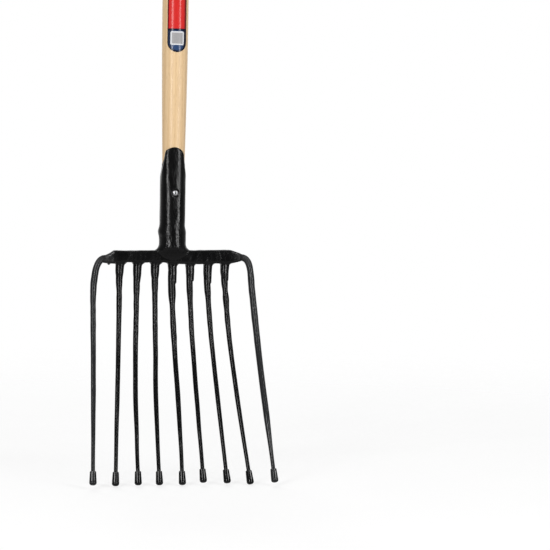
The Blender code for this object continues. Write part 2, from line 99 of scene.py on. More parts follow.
KNOB_ROUNDING = 0.0032

# How the real forging strays from the even shape. A span is the two places that a change runs between.
# Dents have a size, a height and a seed.
BROAD_DENTS = (0.0085, 0.00020, 3.7)
FINE_DENTS = (0.0036, 0.00009, 11.3)
SHOULDER_POWERS = {-1: 1.06, 1: 0.60}
SHOULDER_LIFTS = {-1: -0.0007, 1: 0.0017}
NECK_SQUARENESS = 2.14
SOCKET_SQUARENESS = 2.45
SQUARE_SPAN = (SOCKET_FOOT + 0.002, SOCKET_FOOT + 0.022)
TONGUE_FLATNESS = 0.85
TONGUE_FLAT_SPAN = (0.096, 0.130)
TONGUE_TURN = 4.5
TUBE_RADIUS = 0.01887
NECK_FULL_RADIUS = 0.0199
NECK_SPAN = (SOCKET_FOOT - 0.004, SOCKET_FOOT + 0.010)
SWELLING = 0.0011
SWELLING_HEIGHT = SOCKET_FOOT - 0.0005
SWELLING_SPREAD = 0.0060
FRONT_SWELLING = 0.25
TUBE_SHIFT = 0.00068
SHIFT_SPAN = (SOCKET_FOOT - 0.013, SOCKET_FOOT + 0.004)
SHIFT_LOSS = 0.5
SHIFT_LOSS_SPAN = (0.112, 0.128)
SWELLING_SHIFT = 0.00105
SWELLING_SHIFT_SPREAD = 0.009
SCREW_SHIFT = 0.0005
LABEL_SHIFT = 0.0002

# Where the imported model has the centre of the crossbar
handle_low, handle_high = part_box("handle")
HEAD = Vector((0.0, (handle_low.y + handle_high.y) / 2, handle_high.z - HANDLE_TOP))


def held(share):
    """Share held between 0 and 1."""
    return min(max(share, 0.0), 1.0)


def smooth_step(value, low, high):
    """Soft ramp from 0 at low to 1 at high."""
    share = held((value - low) / (high - low))
    return share * share * (3.0 - 2.0 * share)


def bump_at(value, centre, width):
    """Round hump of height 1 about a centre."""
    return math.exp(-((value - centre) / width) ** 2)


def forging(point, stretch=1.8):
    """Height of the hammered surface in metres at a point, with dents longer along Z by the stretch."""
    height = 0.0
    for size, rise, seed in (BROAD_DENTS, FINE_DENTS):
        spot = Vector((point.x / size + seed, point.y / size - seed, point.z / (size * stretch)))
        height += rise * noise.noise(spot)
    return height


# Curves of the handle, the socket and the tines


def handle_radius(height):
    """Handle radius at a height: a shaft that runs into a cone over a soft blend."""
    below = CONE_START - height
    return SHAFT_RADIUS - CONE_RATE * (below + math.hypot(below, CONE_BLEND)) / 2


def socket_radius(height, swollen=1.0):
    """Outside radius of the socket and of the fuller neck that carries it, swollen where they meet."""
    neck = 1.0 - smooth_step(height, *NECK_SPAN)
    base = TUBE_RADIUS + (NECK_FULL_RADIUS - TUBE_RADIUS) * neck
    return base + swollen * SWELLING * bump_at(height, SWELLING_HEIGHT, SWELLING_SPREAD)


def socket_shift(height):
    """How far the socket sits to the left of the handle's axis at a height."""
    tube = TUBE_SHIFT * smooth_step(height, *SHIFT_SPAN)
    tube *= 1.0 - SHIFT_LOSS * smooth_step(height, *SHIFT_LOSS_SPAN)
    return tube + (SWELLING_SHIFT - TUBE_SHIFT) * bump_at(height, SOCKET_FOOT, SWELLING_SHIFT_SPREAD)


def reach(depth):
    """How far a tine has swung forward at a depth below the start of its bend."""
    depth = max(depth, 0.0)
    return TINE_TIP_SLOPE * (math.hypot(depth, TINE_BEND) - TINE_BEND)


def inner_point(place, height):
    """Centre of an inner tine at a height; place counts from the middle tine."""
    forward = reach(BEND_HEIGHT - height)
    return Vector((place * (TINE_PITCH + TINE_SPLAY * forward), -forward, height))


def outer_reach(height):
    """How far an outer tine has swung forward at a height."""
    return reach(OUTER_BEND_HEIGHT - height) - reach(OUTER_BEND_HEIGHT + BAR_END_DROP)


def outer_point(side, height):
    """Centre of an outer tine at a height below its shoulder."""
    forward = outer_reach(height)
    beyond = OUTER_SPLAY * (forward - outer_reach(SHOULDER_FOOT))
    return Vector((side * (SHOULDER_START + SHOULDER_WIDTH + beyond), -forward, height))


def shoulder_path(side, last, steps):
    """Points over an outer shoulder, from its top to an angle in degrees; the right one is squarer."""
    points = []
    power = SHOULDER_POWERS[side]
    for step in range(steps + 1):
        angle = math.radians(90.0 + (last - 90.0) * step / steps)
        across = SHOULDER_START + SHOULDER_WIDTH * max(math.cos(angle), 0.0) ** power
        height = SHOULDER_FOOT + (SHOULDER_DROP + SHOULDER_LIFTS[side]) * math.sin(angle) ** power
        points.append(Vector((side * across, -outer_reach(height), height)))
    return points


# Making meshes and objects


def ring_angles(steps):
    """Angles that go once round in even steps."""
    return [math.tau * step / steps for step in range(steps)]


def add_object(name, data):
    """Object that holds a mesh, a light or a camera, linked to the scene."""
    item = bpy.data.objects.new(name, data)
    bpy.context.scene.collection.objects.link(item)
    return item


def skin(name, *forms, closed=False):
    """Mesh of closed forms, each through rings of points: capped at both ends, or joined into a loop."""
    shape = bmesh.new()
    for rings in forms:
        loops = [[shape.verts.new(point) for point in ring] for ring in rings]
        pairs = list(zip(loops, loops[1:]))
        if closed:
            pairs.append((loops[-1], loops[0]))
        for upper, lower in pairs:
            for index in range(len(upper)):
                after = (index + 1) % len(upper)
                shape.faces.new((upper[index], upper[after], lower[after], lower[index]))
        for loop in () if closed else (loops[0], loops[-1]):
            centre = shape.verts.new(sum((vert.co for vert in loop), Vector()) / len(loop))
            for index in range(len(loop)):
                shape.faces.new((loop[index], loop[(index + 1) % len(loop)], centre))
    bmesh.ops.recalc_face_normals(shape, faces=shape.faces)
    mesh = bpy.data.meshes.new(name)
    shape.to_mesh(mesh)
    shape.free()
    return mesh


def squared(angle, power):
    """Reach at an angle of a round that is squared off by a power above 2."""
    return (abs(math.sin(angle)) ** power + abs(math.cos(angle)) ** power) ** (-1.0 / power)


def level_ring(centre, half_width, half_depth, pinch=1.0, power=2.0, steps=40):
    """Level oval about a centre, squared off by a power above 2 and pinched in at front and back."""
    ring = []
    for angle in ring_angles(steps):
        depth = half_depth * math.copysign(abs(math.sin(angle)) ** pinch, math.sin(angle))
        spot = Vector((half_width * math.cos(angle), depth, 0.0))
        ring.append(centre + squared(angle, power) * spot)
    return ring


def turned(name, profile, steps):
    """Closed solid of revolution about Z from (radius, height) points."""
    spots = [(Vector((0.0, 0.0, height)), radius) for radius, height in profile]
    return skin(name, [level_ring(centre, radius, radius, steps=steps) for centre, radius in spots])


def rod_rings(path, radii, steps, roughen):
    """Rings square to a path, each point pushed out by the roughness of the forging."""
    rings = []
    for index, (centre, radius) in enumerate(zip(path, radii)):
        before = path[max(index - 1, 0)]
        after = path[min(index + 1, len(path) - 1)]
        along = (after - before).normalized()
        side = along.cross(Vector((0.0, 1.0, 0.0))).normalized()
        front = along.cross(side)
        ring = []
        for angle in ring_angles(steps):
            outward = side * math.cos(angle) + front * math.sin(angle)
            surface = centre + outward * radius
            ring.append(surface + outward * roughen(surface))
        rings.append(ring)
    return rings


def melt(mesh, voxel):
    """One smooth closed mesh around overlapping ones."""
    item = add_object("work", mesh)
    remesh = item.modifiers.new("remesh", "REMESH")
    remesh.mode = "VOXEL"
    remesh.voxel_size = voxel
    remesh.use_smooth_shade = True
    smooth = item.modifiers.new("smooth", "SMOOTH")
    smooth.factor = 0.5
    smooth.iterations = 7
    bpy.context.view_layer.update()
    depsgraph = bpy.context.evaluated_depsgraph_get()
    made = bpy.data.meshes.new_from_object(item.evaluated_get(depsgraph))
    bpy.data.objects.remove(item, do_unlink=True)
    return made


def place_piece(name, mesh, material, nodes, sharp=50.0):
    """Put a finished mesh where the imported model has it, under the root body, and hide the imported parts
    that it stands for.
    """
    mesh.transform(Matrix.Translation(HEAD))
    mesh.materials.clear()
    mesh.materials.append(material)
    mesh.shade_smooth()
    mesh.set_sharp_from_angle(angle=math.radians(sharp))
    item = add_object(name, mesh)
    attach(item, "root")
    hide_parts(*nodes)


# Crossbar with its neck, stubs and drawn ends

VOXEL = 0.00075
BAR_CORNER = 0.0034
# Place across, top, bottom and half depth of the bar
BAR_SECTIONS = (
    (-0.1090, -0.0024, -0.0070, 0.0030),
    (-0.1060, -0.0004, -0.0078, 0.0038),
    (-0.1020, 0.0020, -0.0086, 0.0048),
    (-0.0945, 0.0056, -0.0093, 0.0063),
    (-0.0875, 0.0103, -0.0096, 0.0079),
    (-0.0800, 0.0103, -0.0092, 0.0081),
    (-0.0700, 0.0099, -0.0074, 0.0082),
    (-0.0400, 0.0106, -0.0076, 0.0082),
    (-0.0130, 0.0106, -0.0074, 0.0082),
    (0.0000, 0.0106, -0.0086, 0.0082),
    (0.0130, 0.0108, -0.0097, 0.0082),
    (0.0400, 0.0113, -0.0097, 0.0082),
    (0.0660, 0.0118, -0.0085, 0.0082),
    (0.0800, 0.0120, -0.0088, 0.0081),
    (0.0885, 0.0118, -0.0084, 0.0080),
    (0.0950, 0.0097, -0.0070, 0.0079),
    (0.1010, 0.0077, -0.0056, 0.0077),
    (0.1032, 0.0068, -0.0050, 0.0068),
    (0.1058, 0.0056, -0.0042, 0.0046),
    (0.1090, 0.0038, -0.0030, 0.0034),
)
WEB_DEPTH = 0.8
SPIGOT_RISE = 0.004
SPIGOT_CLEARANCE = 0.0005

# The stubs, counted from the middle one
STUB_STEPS = 32
STUB_RADIUS = 0.0067
STUB_FOOT_RADIUS = 0.0058
STUB_RUNOUT = 0.0046
STUB_RUNOUT_LENGTH = 0.0120
STUB_TOP_HEIGHTS = (-0.003, -0.006, -0.0088, -0.0094, -0.0103, -0.0115, -0.0132, -0.0155)
STUB_PARTS = (0.2, 0.4, 0.55, 0.7, 0.82, 0.93, 1.0)
STUB_TOP_SHIFT = {-3: 0.0010, -2: 0.0009, -1: 0.0008, 0: 0.0, 1: 0.0001, 2: 0.0013, 3: 0.0007}
STUB_SHIFT = {-3: 0.0006, -2: 0.0005, -1: 0.0007, 0: 0.0007, 1: 0.0008, 2: 0.0008, 3: 0.0002}
STUB_SHIFT_DEPTH = 0.4 * STUB_LENGTH
STUB_STRETCH = {-3: -0.004, -2: 0.0005, -1: -0.001, 0: 0.001, 1: -0.0025, 2: 0.0010, 3: -0.003}
TIGHT_FILLET = 0.0016
WIDE_FILLETS = {-3: 0.0036, -2: 0.0042, -1: 0.0042, 0: 0.0062, 1: 0.0054, 2: 0.0036, 3: 0.0022}
STEPPED_SIDES = {0: (-1, 1), 1: (1,), 2: (1,), 3: (1,)}
STEP_TAPERS = {0: 0.0, 1: 0.0005, 2: 0.0004, 3: 0.0006}
STEP_SHARE = 0.82
FLAT_TURN = math.radians(13.75)
FLAT_POWERS = {0: 2.3, 1: 2.8, 2: 2.8, 3: 2.8}
FLAT_EVENING = 0.3

# The drawn ends, the burr and the surface
SLEEVE_START = 0.0960
SLEEVE_RADIUS = 0.0046
SLEEVE_TAPER = 0.0008
SLEEVE_LAST_SHARE = 0.9
SLEEVE_ANGLE = 48.0
BURR = Vector((-0.0950, 0.0005, -0.0098))
BURR_RINGS = ((0.003, 0.0024), (0.0, 0.0022), (-0.0010, 0.0017), (-0.0018, 0.0008))
BURR_LENGTHENING = 1.4
SEAT_SPAN = (SOCKET_FOOT - 0.004, SOCKET_FOOT - 0.001)
UNDERSIDE_SPAN = (BAR_BOTTOM - 0.002, BAR_BOTTOM + 0.002)
RIGHT_END_SPAN = (0.086, 0.092)
MELTING_LOSS = 0.00008


def bar_ring(across, top, bottom, half_depth):
    """Upright rectangle with round corners across the bar."""
    corner = min(BAR_CORNER, 0.45 * (top - bottom), 0.9 * half_depth)
    side = half_depth - corner
    high, low = top - corner, bottom + corner
    ring = []
    for quarter, (depth, height) in enumerate(((side, high), (-side, high), (-side, low), (side, low))):
        for step in range(5):
            angle = math.radians(90.0 * quarter + 22.5 * step)
            ring.append((across, depth + corner * math.cos(angle), height + corner * math.sin(angle)))
    return ring


def neck_rings():
    """Web on the bar that rounds up into the seat under the socket."""
    rings = []
    bar_height = BAR_TOP - BAR_BOTTOM
    web = WEB_DEPTH * bar_height
    heights = [BAR_TOP + bar_height * level for level in (-WEB_DEPTH, -0.6, -0.4, -0.2, 0.0)]
    heights += [BAR_TOP + NECK_FILLET * part for part in (0.08, 0.2, 0.35, 0.55, 0.8, 1.0)]
    heights += [SOCKET_FOOT - drop for drop in (0.015, 0.012, 0.009, 0.006, 0.003)]
    heights.append(SOCKET_FOOT + SPIGOT_RISE)
    for height in sorted(heights):
        above = height - BAR_TOP
        rise = NECK_FILLET - min(max(above, 0.0), NECK_FILLET)
        flare = NECK_FILLET - math.sqrt(NECK_FILLET ** 2 - rise ** 2)
        if above < 0.0:
            flare *= 1.0 + above / bar_height
        share = held((above + web) / (0.40 * NECK_FILLET + web))
        full = socket_radius(height, FRONT_SWELLING)
        width = socket_radius(height) + flare
        depth = BAR_HALF_DEPTH + (full - BAR_HALF_DEPTH) * share ** 2 * (2.0 - share)
        if height > SOCKET_FOOT:
            width = depth = handle_radius(height) - SPIGOT_CLEARANCE
        pinch = 1.0 + flare / NECK_FILLET
        centre = Vector((-socket_shift(height), 0.0, height))
        rings.append(level_ring(centre, width, depth, pinch, NECK_SQUARENESS))
    return rings


def flattened(place, angle):
    """Share of its round reach that a stub has at an angle: flat towards the front right on some."""
    power = FLAT_POWERS.get(place, 2.0)
    return squared(angle - FLAT_TURN, power) / (2.0 ** (0.5 - 1.0 / power)) ** FLAT_EVENING


def stub_radius(place, side, height, foot):
    """Reach of a stub to a side, or to its front for side 0: run out into the rod, or ended in a step."""
    share = held((BAR_BOTTOM - height) / STUB_LENGTH)
    radius = STUB_RADIUS + (STUB_FOOT_RADIUS - STUB_RADIUS) * share
    if side in STEPPED_SIDES.get(place, ()):
        return (radius - STEP_TAPERS[place] * share) * (STEP_SHARE if height == foot else 1.0)
    return STUB_RUNOUT + (radius - STUB_RUNOUT) * held((height - foot) / STUB_RUNOUT_LENGTH)


def fillet_reach(radius, below):
    """How far a round fillet still reaches out at a depth below the bar."""
    rise = 1.0 - min(below / radius, 1.0)
    return radius * (1.0 - math.sqrt(1.0 - rise ** 2))


def stub_rings(place):
    """Stub drawn out of the bar, with a wide fillet on its right and a tight one on its left."""
    rings = []
    foot = BAR_BOTTOM - STUB_LENGTH - STUB_STRETCH[place]
    start = STUB_TOP_HEIGHTS[-1]
    for height in (*STUB_TOP_HEIGHTS, *(start + (foot - start) * part for part in STUB_PARTS)):
        left, front, right = (stub_radius(place, side, height, foot) for side in (-1, 0, 1))
        below = max(BAR_BOTTOM - height, 0.0)
        wide = fillet_reach(WIDE_FILLETS[place], below)
        tight = fillet_reach(TIGHT_FILLET, below)
        shift = STUB_TOP_SHIFT[place]
        shift += (STUB_SHIFT[place] - shift) * smooth_step(below, 0.0, STUB_SHIFT_DEPTH)
        centre = inner_point(place, height) + Vector((shift, 0.0, 0.0))
        ring = []
        for angle in ring_angles(STUB_STEPS):
            across = (right + wide if math.cos(angle) > 0.0 else left + tight) * math.cos(angle)
            ring.append(centre + flattened(place, angle) * Vector((across, front * math.sin(angle), 0.0)))
        rings.append(ring)
    return rings


def sleeve_rings(side):
    """End of the bar drawn out over the start of an outer tine."""
    path = [Vector((side * SLEEVE_START, 0.0, -BAR_END_DROP))]
    path += shoulder_path(side, SLEEVE_ANGLE, steps=10)
    count = len(path) - 1
    radii = [SLEEVE_RADIUS - SLEEVE_TAPER * index / count for index in range(count + 1)]
    radii[-1] *= SLEEVE_LAST_SHARE
    return rod_rings(path, radii, steps=24, roughen=lambda point: 0.0)


def burr_rings():
    """Small nub that was left on the bar's underside near its left end."""
    rings = []
    for height, radius in BURR_RINGS:
        centre = BURR + Vector((0.0, 0.0, height))
        rings.append(level_ring(centre, radius, BURR_LENGTHENING * radius, steps=16))
    return rings


def roughen_bar(mesh):
    """Push the bar's points out along their normals, by less at its right end and the neck's top."""
    normals = [vert.normal.copy() for vert in mesh.vertices]
    for vert, normal in zip(mesh.vertices, normals):
        calm = smooth_step(vert.co.z, *SEAT_SPAN)
        rough = 1.0 + 0.4 * smooth_step(vert.co.z, *UNDERSIDE_SPAN)
        rough *= 1.0 - 0.7 * smooth_step(vert.co.x, *RIGHT_END_SPAN)
        vert.co += normal * (MELTING_LOSS + (1.0 - calm) * rough * forging(vert.co))
    mesh.update()


def make_crossbar(material):
    """Bar, neck, stubs and drawn ends melted into one forging."""
    forms = [[bar_ring(*section) for section in BAR_SECTIONS], neck_rings(), burr_rings()]
    forms += [stub_rings(place) for place in range(-3, 4)]
    mesh = melt(skin("crossbar forms", *forms, sleeve_rings(-1), sleeve_rings(1)), VOXEL)
    roughen_bar(mesh)
    place_piece("forged_crossbar", mesh, material, ("crossbar",))


# Tines, numbered from left to right

MIDDLE_TINE = 5
TINE_STEPS = 26
RING_SPACING = 0.0016
STUB_INSET = 0.018
OUTER_START = 0.0925
OUTER_SHOULDER_ANGLE = 8.0
TIP_RISES = {
    1: 0.0013, 2: 0.0013, 3: 0.0018, 4: 0.0014, 5: 0.0010, 6: 0.0036, 7: 0.0022, 8: 0.0003, 9: 0.0006,
}
TINE_RADII = {
    1: 0.0038, 2: 0.00355, 3: 0.0037, 4: 0.00365, 5: 0.0038, 6: 0.00355, 7: 0.0035, 8: 0.00355, 9: 0.0046,
}
TINE_ROOT = 0.0051
TINE_ROOTS = {1: 0.0050, 5: 0.0055, 9: 0.0050}
ROOT_SPAN = (0.034, 0.076)
SLOW_DRAW = 0.00038
SLOW_DRAW_SPAN = (0.085, 0.165)
THIN_RADIUS = 0.0029
THIN_START = 0.60
THIN_STARTS = {9: 0.74}
THIN_END = 0.97
CALM_SPAN = (-0.150, -0.090)
CALM_ROUGHNESS = 0.10
TINE_STRETCH = 2.2
UNEVENNESS = (0.015, 0.035)
UNEVEN_LENGTH = 0.013
WANDER = 0.00030
WANDER_LENGTH = 0.045
WANDER_SPAN = (0.040, 0.070)
WANDER_DEPTH = 0.35
DRIFT_HEIGHTS = (-0.005, -0.030, -0.063, -0.130, -0.198, -0.260, -TINE_DROP)
TINE_DRIFTS = {
    1: (0.0, 0.0015, 0.0006, 0.0012, 0.0015, 0.0013, 0.0010),
    2: (0.0, 0.0003, 0.0007, 0.0011, 0.0012, 0.0009, 0.0014),
    3: (0.0, -0.0001, -0.0003, -0.0018, -0.0021, -0.0004, 0.0012),
    4: (0.0, 0.0006, 0.0006, -0.0002, -0.0019, -0.0015, -0.0008),
    5: (0.0, -0.0007, -0.0004, 0.0000, 0.0010, 0.0009, -0.0003),
    6: (0.0, -0.0003, -0.0002, -0.0007, -0.0010, -0.0014, -0.0022),
    7: (0.0, -0.0002, 0.0004, 0.0004, 0.0004, 0.0002, 0.0),
    8: (0.0, -0.0003, 0.0004, -0.0003, -0.0002, 0.0004, 0.0010),
    9: (-0.0005, -0.0006, 0.0, -0.0001, 0.0, 0.0003, 0.0001),
}
# Height, rise and spread of each swelling on a rod; a waist has a rise below zero
TINE_SWELLS = {
    2: ((-0.051, -0.00045, 0.008), (-0.071, 0.00035, 0.007)),
    4: ((-0.055, -0.00030, 0.006),),
    5: ((-0.054, 0.0009, 0.011), (-0.100, 0.0004, 0.016), (-0.117, 0.00045, 0.005)),
    7: ((-0.051, 0.0003, 0.007), (-0.081, 0.0002, 0.008)),
    8: ((-0.050, -0.0007, 0.007), (-0.063, 0.0007, 0.009), (-0.093, 0.0003, 0.007)),
}
KNOB_RIM = ((0.0, 0.0040), (0.0004, 0.0045))
KNOB_BODY_START = 0.001
KNOB_BODY_SPACING = 0.0013
KNOB_TURNS = (0.12, 0.30, 0.50, 0.68, 0.82, 0.92, 0.98, 1.0)
KNOB_TIP_RADIUS = 0.0010
KNOB_SEAT = 0.0003
ROD_END_GAP = 0.0012


def knob_radius(travel):
    """Knob radius at a distance below its upper face: a sharp shoulder, a slight flare and a round end."""
    flare = KNOB_RADIUS - KNOB_NECK_RADIUS
    body = KNOB_NECK_RADIUS + flare * min(travel / (0.8 * KNOB_LENGTH), 1.0)
    left = KNOB_LENGTH - travel
    if left < KNOB_ROUNDING:
        rise = (KNOB_ROUNDING - left) / KNOB_ROUNDING
        return body - KNOB_ROUNDING * 0.95 * (1.0 - math.sqrt(max(1.0 - rise ** 2, 0.0)))
    return body


def knob_rings():
    """(distance below the knob's upper face, radius) pairs down the knob."""
    travels = [KNOB_BODY_START + KNOB_BODY_SPACING * step for step in range(12)]
    travels += [KNOB_LENGTH - KNOB_ROUNDING * (1.0 - turn) for turn in KNOB_TURNS]
    body = [(travel, knob_radius(travel)) for travel in travels]
    return [*KNOB_RIM, *body, (KNOB_LENGTH, KNOB_TIP_RADIUS)]


def drift(number, height):
    """How far a tine has strayed sideways at a height."""
    drifts = TINE_DRIFTS[number]
    for upper, lower, first, last in zip(DRIFT_HEIGHTS, DRIFT_HEIGHTS[1:], drifts, drifts[1:]):
        if height >= lower:
            return first + (last - first) * smooth_step(-height, -upper, -lower)
    return drifts[-1]


def strayed(number, point):
    """Point of a tine after its own bends."""
    wander = WANDER * noise.noise(Vector((number * 5.3, point.z / WANDER_LENGTH, 0.0)))
    wander *= smooth_step(-point.z, *WANDER_SPAN)
    return point + Vector((drift(number, point.z) + wander, WANDER_DEPTH * wander, 0.0))


def tine_radius(number, height, share):
    """Rod radius: thick at the root, drawn down, lumpy along its length and thinner above the knob."""
    body = TINE_RADII[number]
    root = TINE_ROOTS.get(number, TINE_ROOT)
    body += SLOW_DRAW * (1.0 - smooth_step(-height, *SLOW_DRAW_SPAN))
    radius = body + (root - body) * (1.0 - smooth_step(-height, *ROOT_SPAN))
    uneven = UNEVENNESS[0] + UNEVENNESS[1] * smooth_step(height, *CALM_SPAN)
    radius *= 1.0 + uneven * noise.noise(Vector((number * 3.1, height / UNEVEN_LENGTH, 7.0)))
    for centre, rise, width in TINE_SWELLS.get(number, ()):
        radius += rise * bump_at(height, centre, width)
    thin = smooth_step(share, THIN_STARTS.get(number, THIN_START), THIN_END)
    return radius * (1.0 - thin) + min(radius, THIN_RADIUS) * thin


def resample(points, spacing):
    """Points at an even distance along a path."""
    travel = [0.0]
    for before, after in zip(points, points[1:]):
        travel.append(travel[-1] + (after - before).length)
    count = max(int(travel[-1] / spacing), 2)
    even = []
    index = 0
    for step in range(count + 1):
        goal = travel[-1] * step / count
        while index < len(points) - 2 and travel[index + 1] < goal:
            index += 1
        share = (goal - travel[index]) / (travel[index + 1] - travel[index])
        even.append(points[index].lerp(points[index + 1], min(share, 1.0)))
    return even


def make_tine(number, even_path, material):
    """Rod with its knob as one closed skin."""
    path = resample([strayed(number, point) for point in even_path], RING_SPACING)
    tip = path[-1]
    axis = (tip - path[-8]).normalized()
    knob_top = tip - axis * KNOB_LENGTH
    path = [point for point in path if (point - tip).length > KNOB_LENGTH + ROD_END_GAP]
    radii = [tine_radius(number, point.z, index / len(path)) for index, point in enumerate(path)]
    path.append(knob_top - axis * KNOB_SEAT)
    radii.append(radii[-1])
    for travel, radius in knob_rings():
        path.append(knob_top + axis * travel)
        radii.append(radius)
    shift = Vector((number * 0.1, 0.0, 0.0))

    def roughen(point):
        calm = CALM_ROUGHNESS + (1.0 - CALM_ROUGHNESS) * smooth_step(point.z, *CALM_SPAN)
        return calm * forging(point + shift, TINE_STRETCH)

    mesh = skin("tine", rod_rings(path, radii, TINE_STEPS, roughen))
    place_piece(f"tine_rod_{number}", mesh, material, (f"tine_{number}",), sharp=55.0)


def make_tines(material):
    """Seven tines that start inside their stubs and two that start inside the bar's ends."""
    start = BAR_BOTTOM - STUB_LENGTH + STUB_INSET
    for place in range(-3, 4):
        number = place + MIDDLE_TINE
        fall = TINE_DROP - TIP_RISES[number] + start
        make_tine(number, [inner_point(place, start - fall * step / 90) for step in range(91)], material)
    for side, number in ((-1, 1), (1, 9)):
        path = [Vector((side * OUTER_START, 0.0, -BAR_END_DROP))]
        path += shoulder_path(side, OUTER_SHOULDER_ANGLE, steps=30)
        fall = OUTER_DROP - TIP_RISES[number] + SHOULDER_FOOT
        path += [outer_point(side, SHOULDER_FOOT - fall * step / 80) for step in range(81)]
        make_tine(number, path, material)


# Socket

SOCKET_TURNS = 168
SOCKET_ROWS = 150
SOCKET_LAP = 0.0035
SOCKET_STRETCH = 2.6
SOCKET_ROUGHNESS = 0.75
SOCKET_ROUGH_SPAN = (SOCKET_FOOT - 0.004, SOCKET_FOOT + 0.002)
TONGUE_EDGE_RADIUS = 0.0184
RIM_DROP = 0.0007
RIM_SPAN = (0.0, 0.0022)
SIDE_SPAN = (0.60, 0.93)
FLUSH_SPAN = (0.001, 0.019)
FLUSH_LIFT = 0.0007
DIMPLE_FILLING = 0.35
# Rise above the top edge and lift off the wood of the rim's inner points
INNER_RIM = ((0.0002, 0.0004), (-0.0002, 0.0))
BORE_PARTS = (0.9, 0.7, 0.5, 0.3, 0.12)
BORE_OVERLAP = 0.0002
FOOT_WALL = 0.0006


def tongue_height(across):
    """Top of the socket at a distance from the middle, as seen from the front."""
    lean = math.atan(TONGUE_FLARE)
    edge = TONGUE_RADIUS * math.cos(lean)
    centre = SOCKET_TOP - TONGUE_RADIUS
    across = abs(across)
    if across <= edge:
        return centre + math.sqrt(TONGUE_RADIUS ** 2 - across ** 2)
    return centre + TONGUE_RADIUS * math.sin(lean) - (across - edge) / TONGUE_FLARE


def socket_spot(angle, height, radius):
    """Point on the socket at an angle from its front."""
    return Vector((radius * math.sin(angle), -radius * math.cos(angle), height))


def socket_surface(angle, height, edge_distance):
    """Outside of the hammered, slightly square socket, with its softened rims and the screw's dimple."""
    power = NECK_SQUARENESS
    power += (SOCKET_SQUARENESS - NECK_SQUARENESS) * smooth_step(height, *SQUARE_SPAN)
    if math.sin(angle) < 0.0 < math.cos(angle):
        power += TONGUE_FLATNESS * smooth_step(height, *TONGUE_FLAT_SPAN)
    swollen = FRONT_SWELLING + (1.0 - FRONT_SWELLING) * math.sin(angle) ** 2
    full = socket_radius(height, swollen) * squared(angle, power) - socket_shift(height) * math.sin(angle)
    plain = socket_spot(angle, height, full)
    full += SOCKET_ROUGHNESS * forging(plain, SOCKET_STRETCH) * smooth_step(height, *SOCKET_ROUGH_SPAN)
    full -= RIM_DROP * (1.0 - smooth_step(edge_distance, *RIM_SPAN))
    side = smooth_step(abs(math.sin(angle)), *SIDE_SPAN)
    hammered = side * (1.0 - smooth_step(edge_distance, *FLUSH_SPAN))
    flush = handle_radius(height) + FLUSH_LIFT
    spot = socket_spot(angle, height, full + (flush - full) * hammered)
    if spot.y < 0.0:
        away = math.hypot(spot.x - SCREW_SHIFT, height - SCREW_HEIGHT)
        pressed = 1.0 - smooth_step(away, *DIMPLE_SPAN)
        spot.y += (-HEAD_SEAT - spot.y) * pressed * (1.0 if spot.y < -HEAD_SEAT else DIMPLE_FILLING)
    return spot


def make_socket(material):
    """Tube with a rounded tongue at the front and at the back, closed around its wall."""
    columns = []
    foot = SOCKET_FOOT - SOCKET_LAP
    for angle in ring_angles(SOCKET_TURNS):
        top = tongue_height(TONGUE_EDGE_RADIUS * math.sin(angle + math.radians(TONGUE_TURN)))
        column = []
        for row in range(SOCKET_ROWS + 1):
            height = foot + (top - foot) * row / SOCKET_ROWS
            column.append(socket_surface(angle, height, top - height))
        bore = [(top + rise, lift) for rise, lift in INNER_RIM]
        bore += [(SOCKET_FOOT + (top - SOCKET_FOOT) * part, -BORE_OVERLAP) for part in BORE_PARTS]
        for height, lift in bore:
            column.append(socket_spot(angle, height, handle_radius(height) + lift))
        column.append(socket_spot(angle, foot, socket_radius(foot) - FOOT_WALL))
        columns.append(column)
    mesh = skin("socket", columns, closed=True)
    place_piece("socket_tube", mesh, material, ("socket",), sharp=60.0)


# Handle, screw, label and sticker

END_RADIUS = 0.0008
BUTT_STEPS = 10
HANDLE_ROWS = 150
SCREW_LIFT = 0.0001
SCREW_TOP_ANGLE = 68.0
SCREW_DOME_STEPS = 13
LABEL_ROWS = 40
PATCH_ROWS = 12
END_ROWS = 12
END_INSET = 0.00002
FILM_COLUMNS = 36


def make_handle(material):
    """Straight turned shaft from its domed butt down to the nose inside the socket."""
    rounding = handle_radius(HANDLE_TOP) - BUTT_FLAT
    low = HANDLE_TOP - BUTT_ROUNDING
    profile = [(END_RADIUS, HANDLE_TOP), (BUTT_FLAT * 0.6, HANDLE_TOP)]
    for step in range(BUTT_STEPS + 1):
        angle = math.radians(90.0 - 90.0 * step / BUTT_STEPS)
        height = HANDLE_TOP - BUTT_ROUNDING * (1.0 - math.sin(angle))
        profile.append((BUTT_FLAT + rounding * math.cos(angle), height))
    for row in range(1, HANDLE_ROWS + 1):
        height = low + (HANDLE_NOSE - low) * row / HANDLE_ROWS
        profile.append((handle_radius(height), height))
    profile.append((END_RADIUS, HANDLE_NOSE))
    mesh = turned("handle", profile, steps=96)
    place_piece("ash_handle", mesh, material, ("handle",), sharp=60.0)


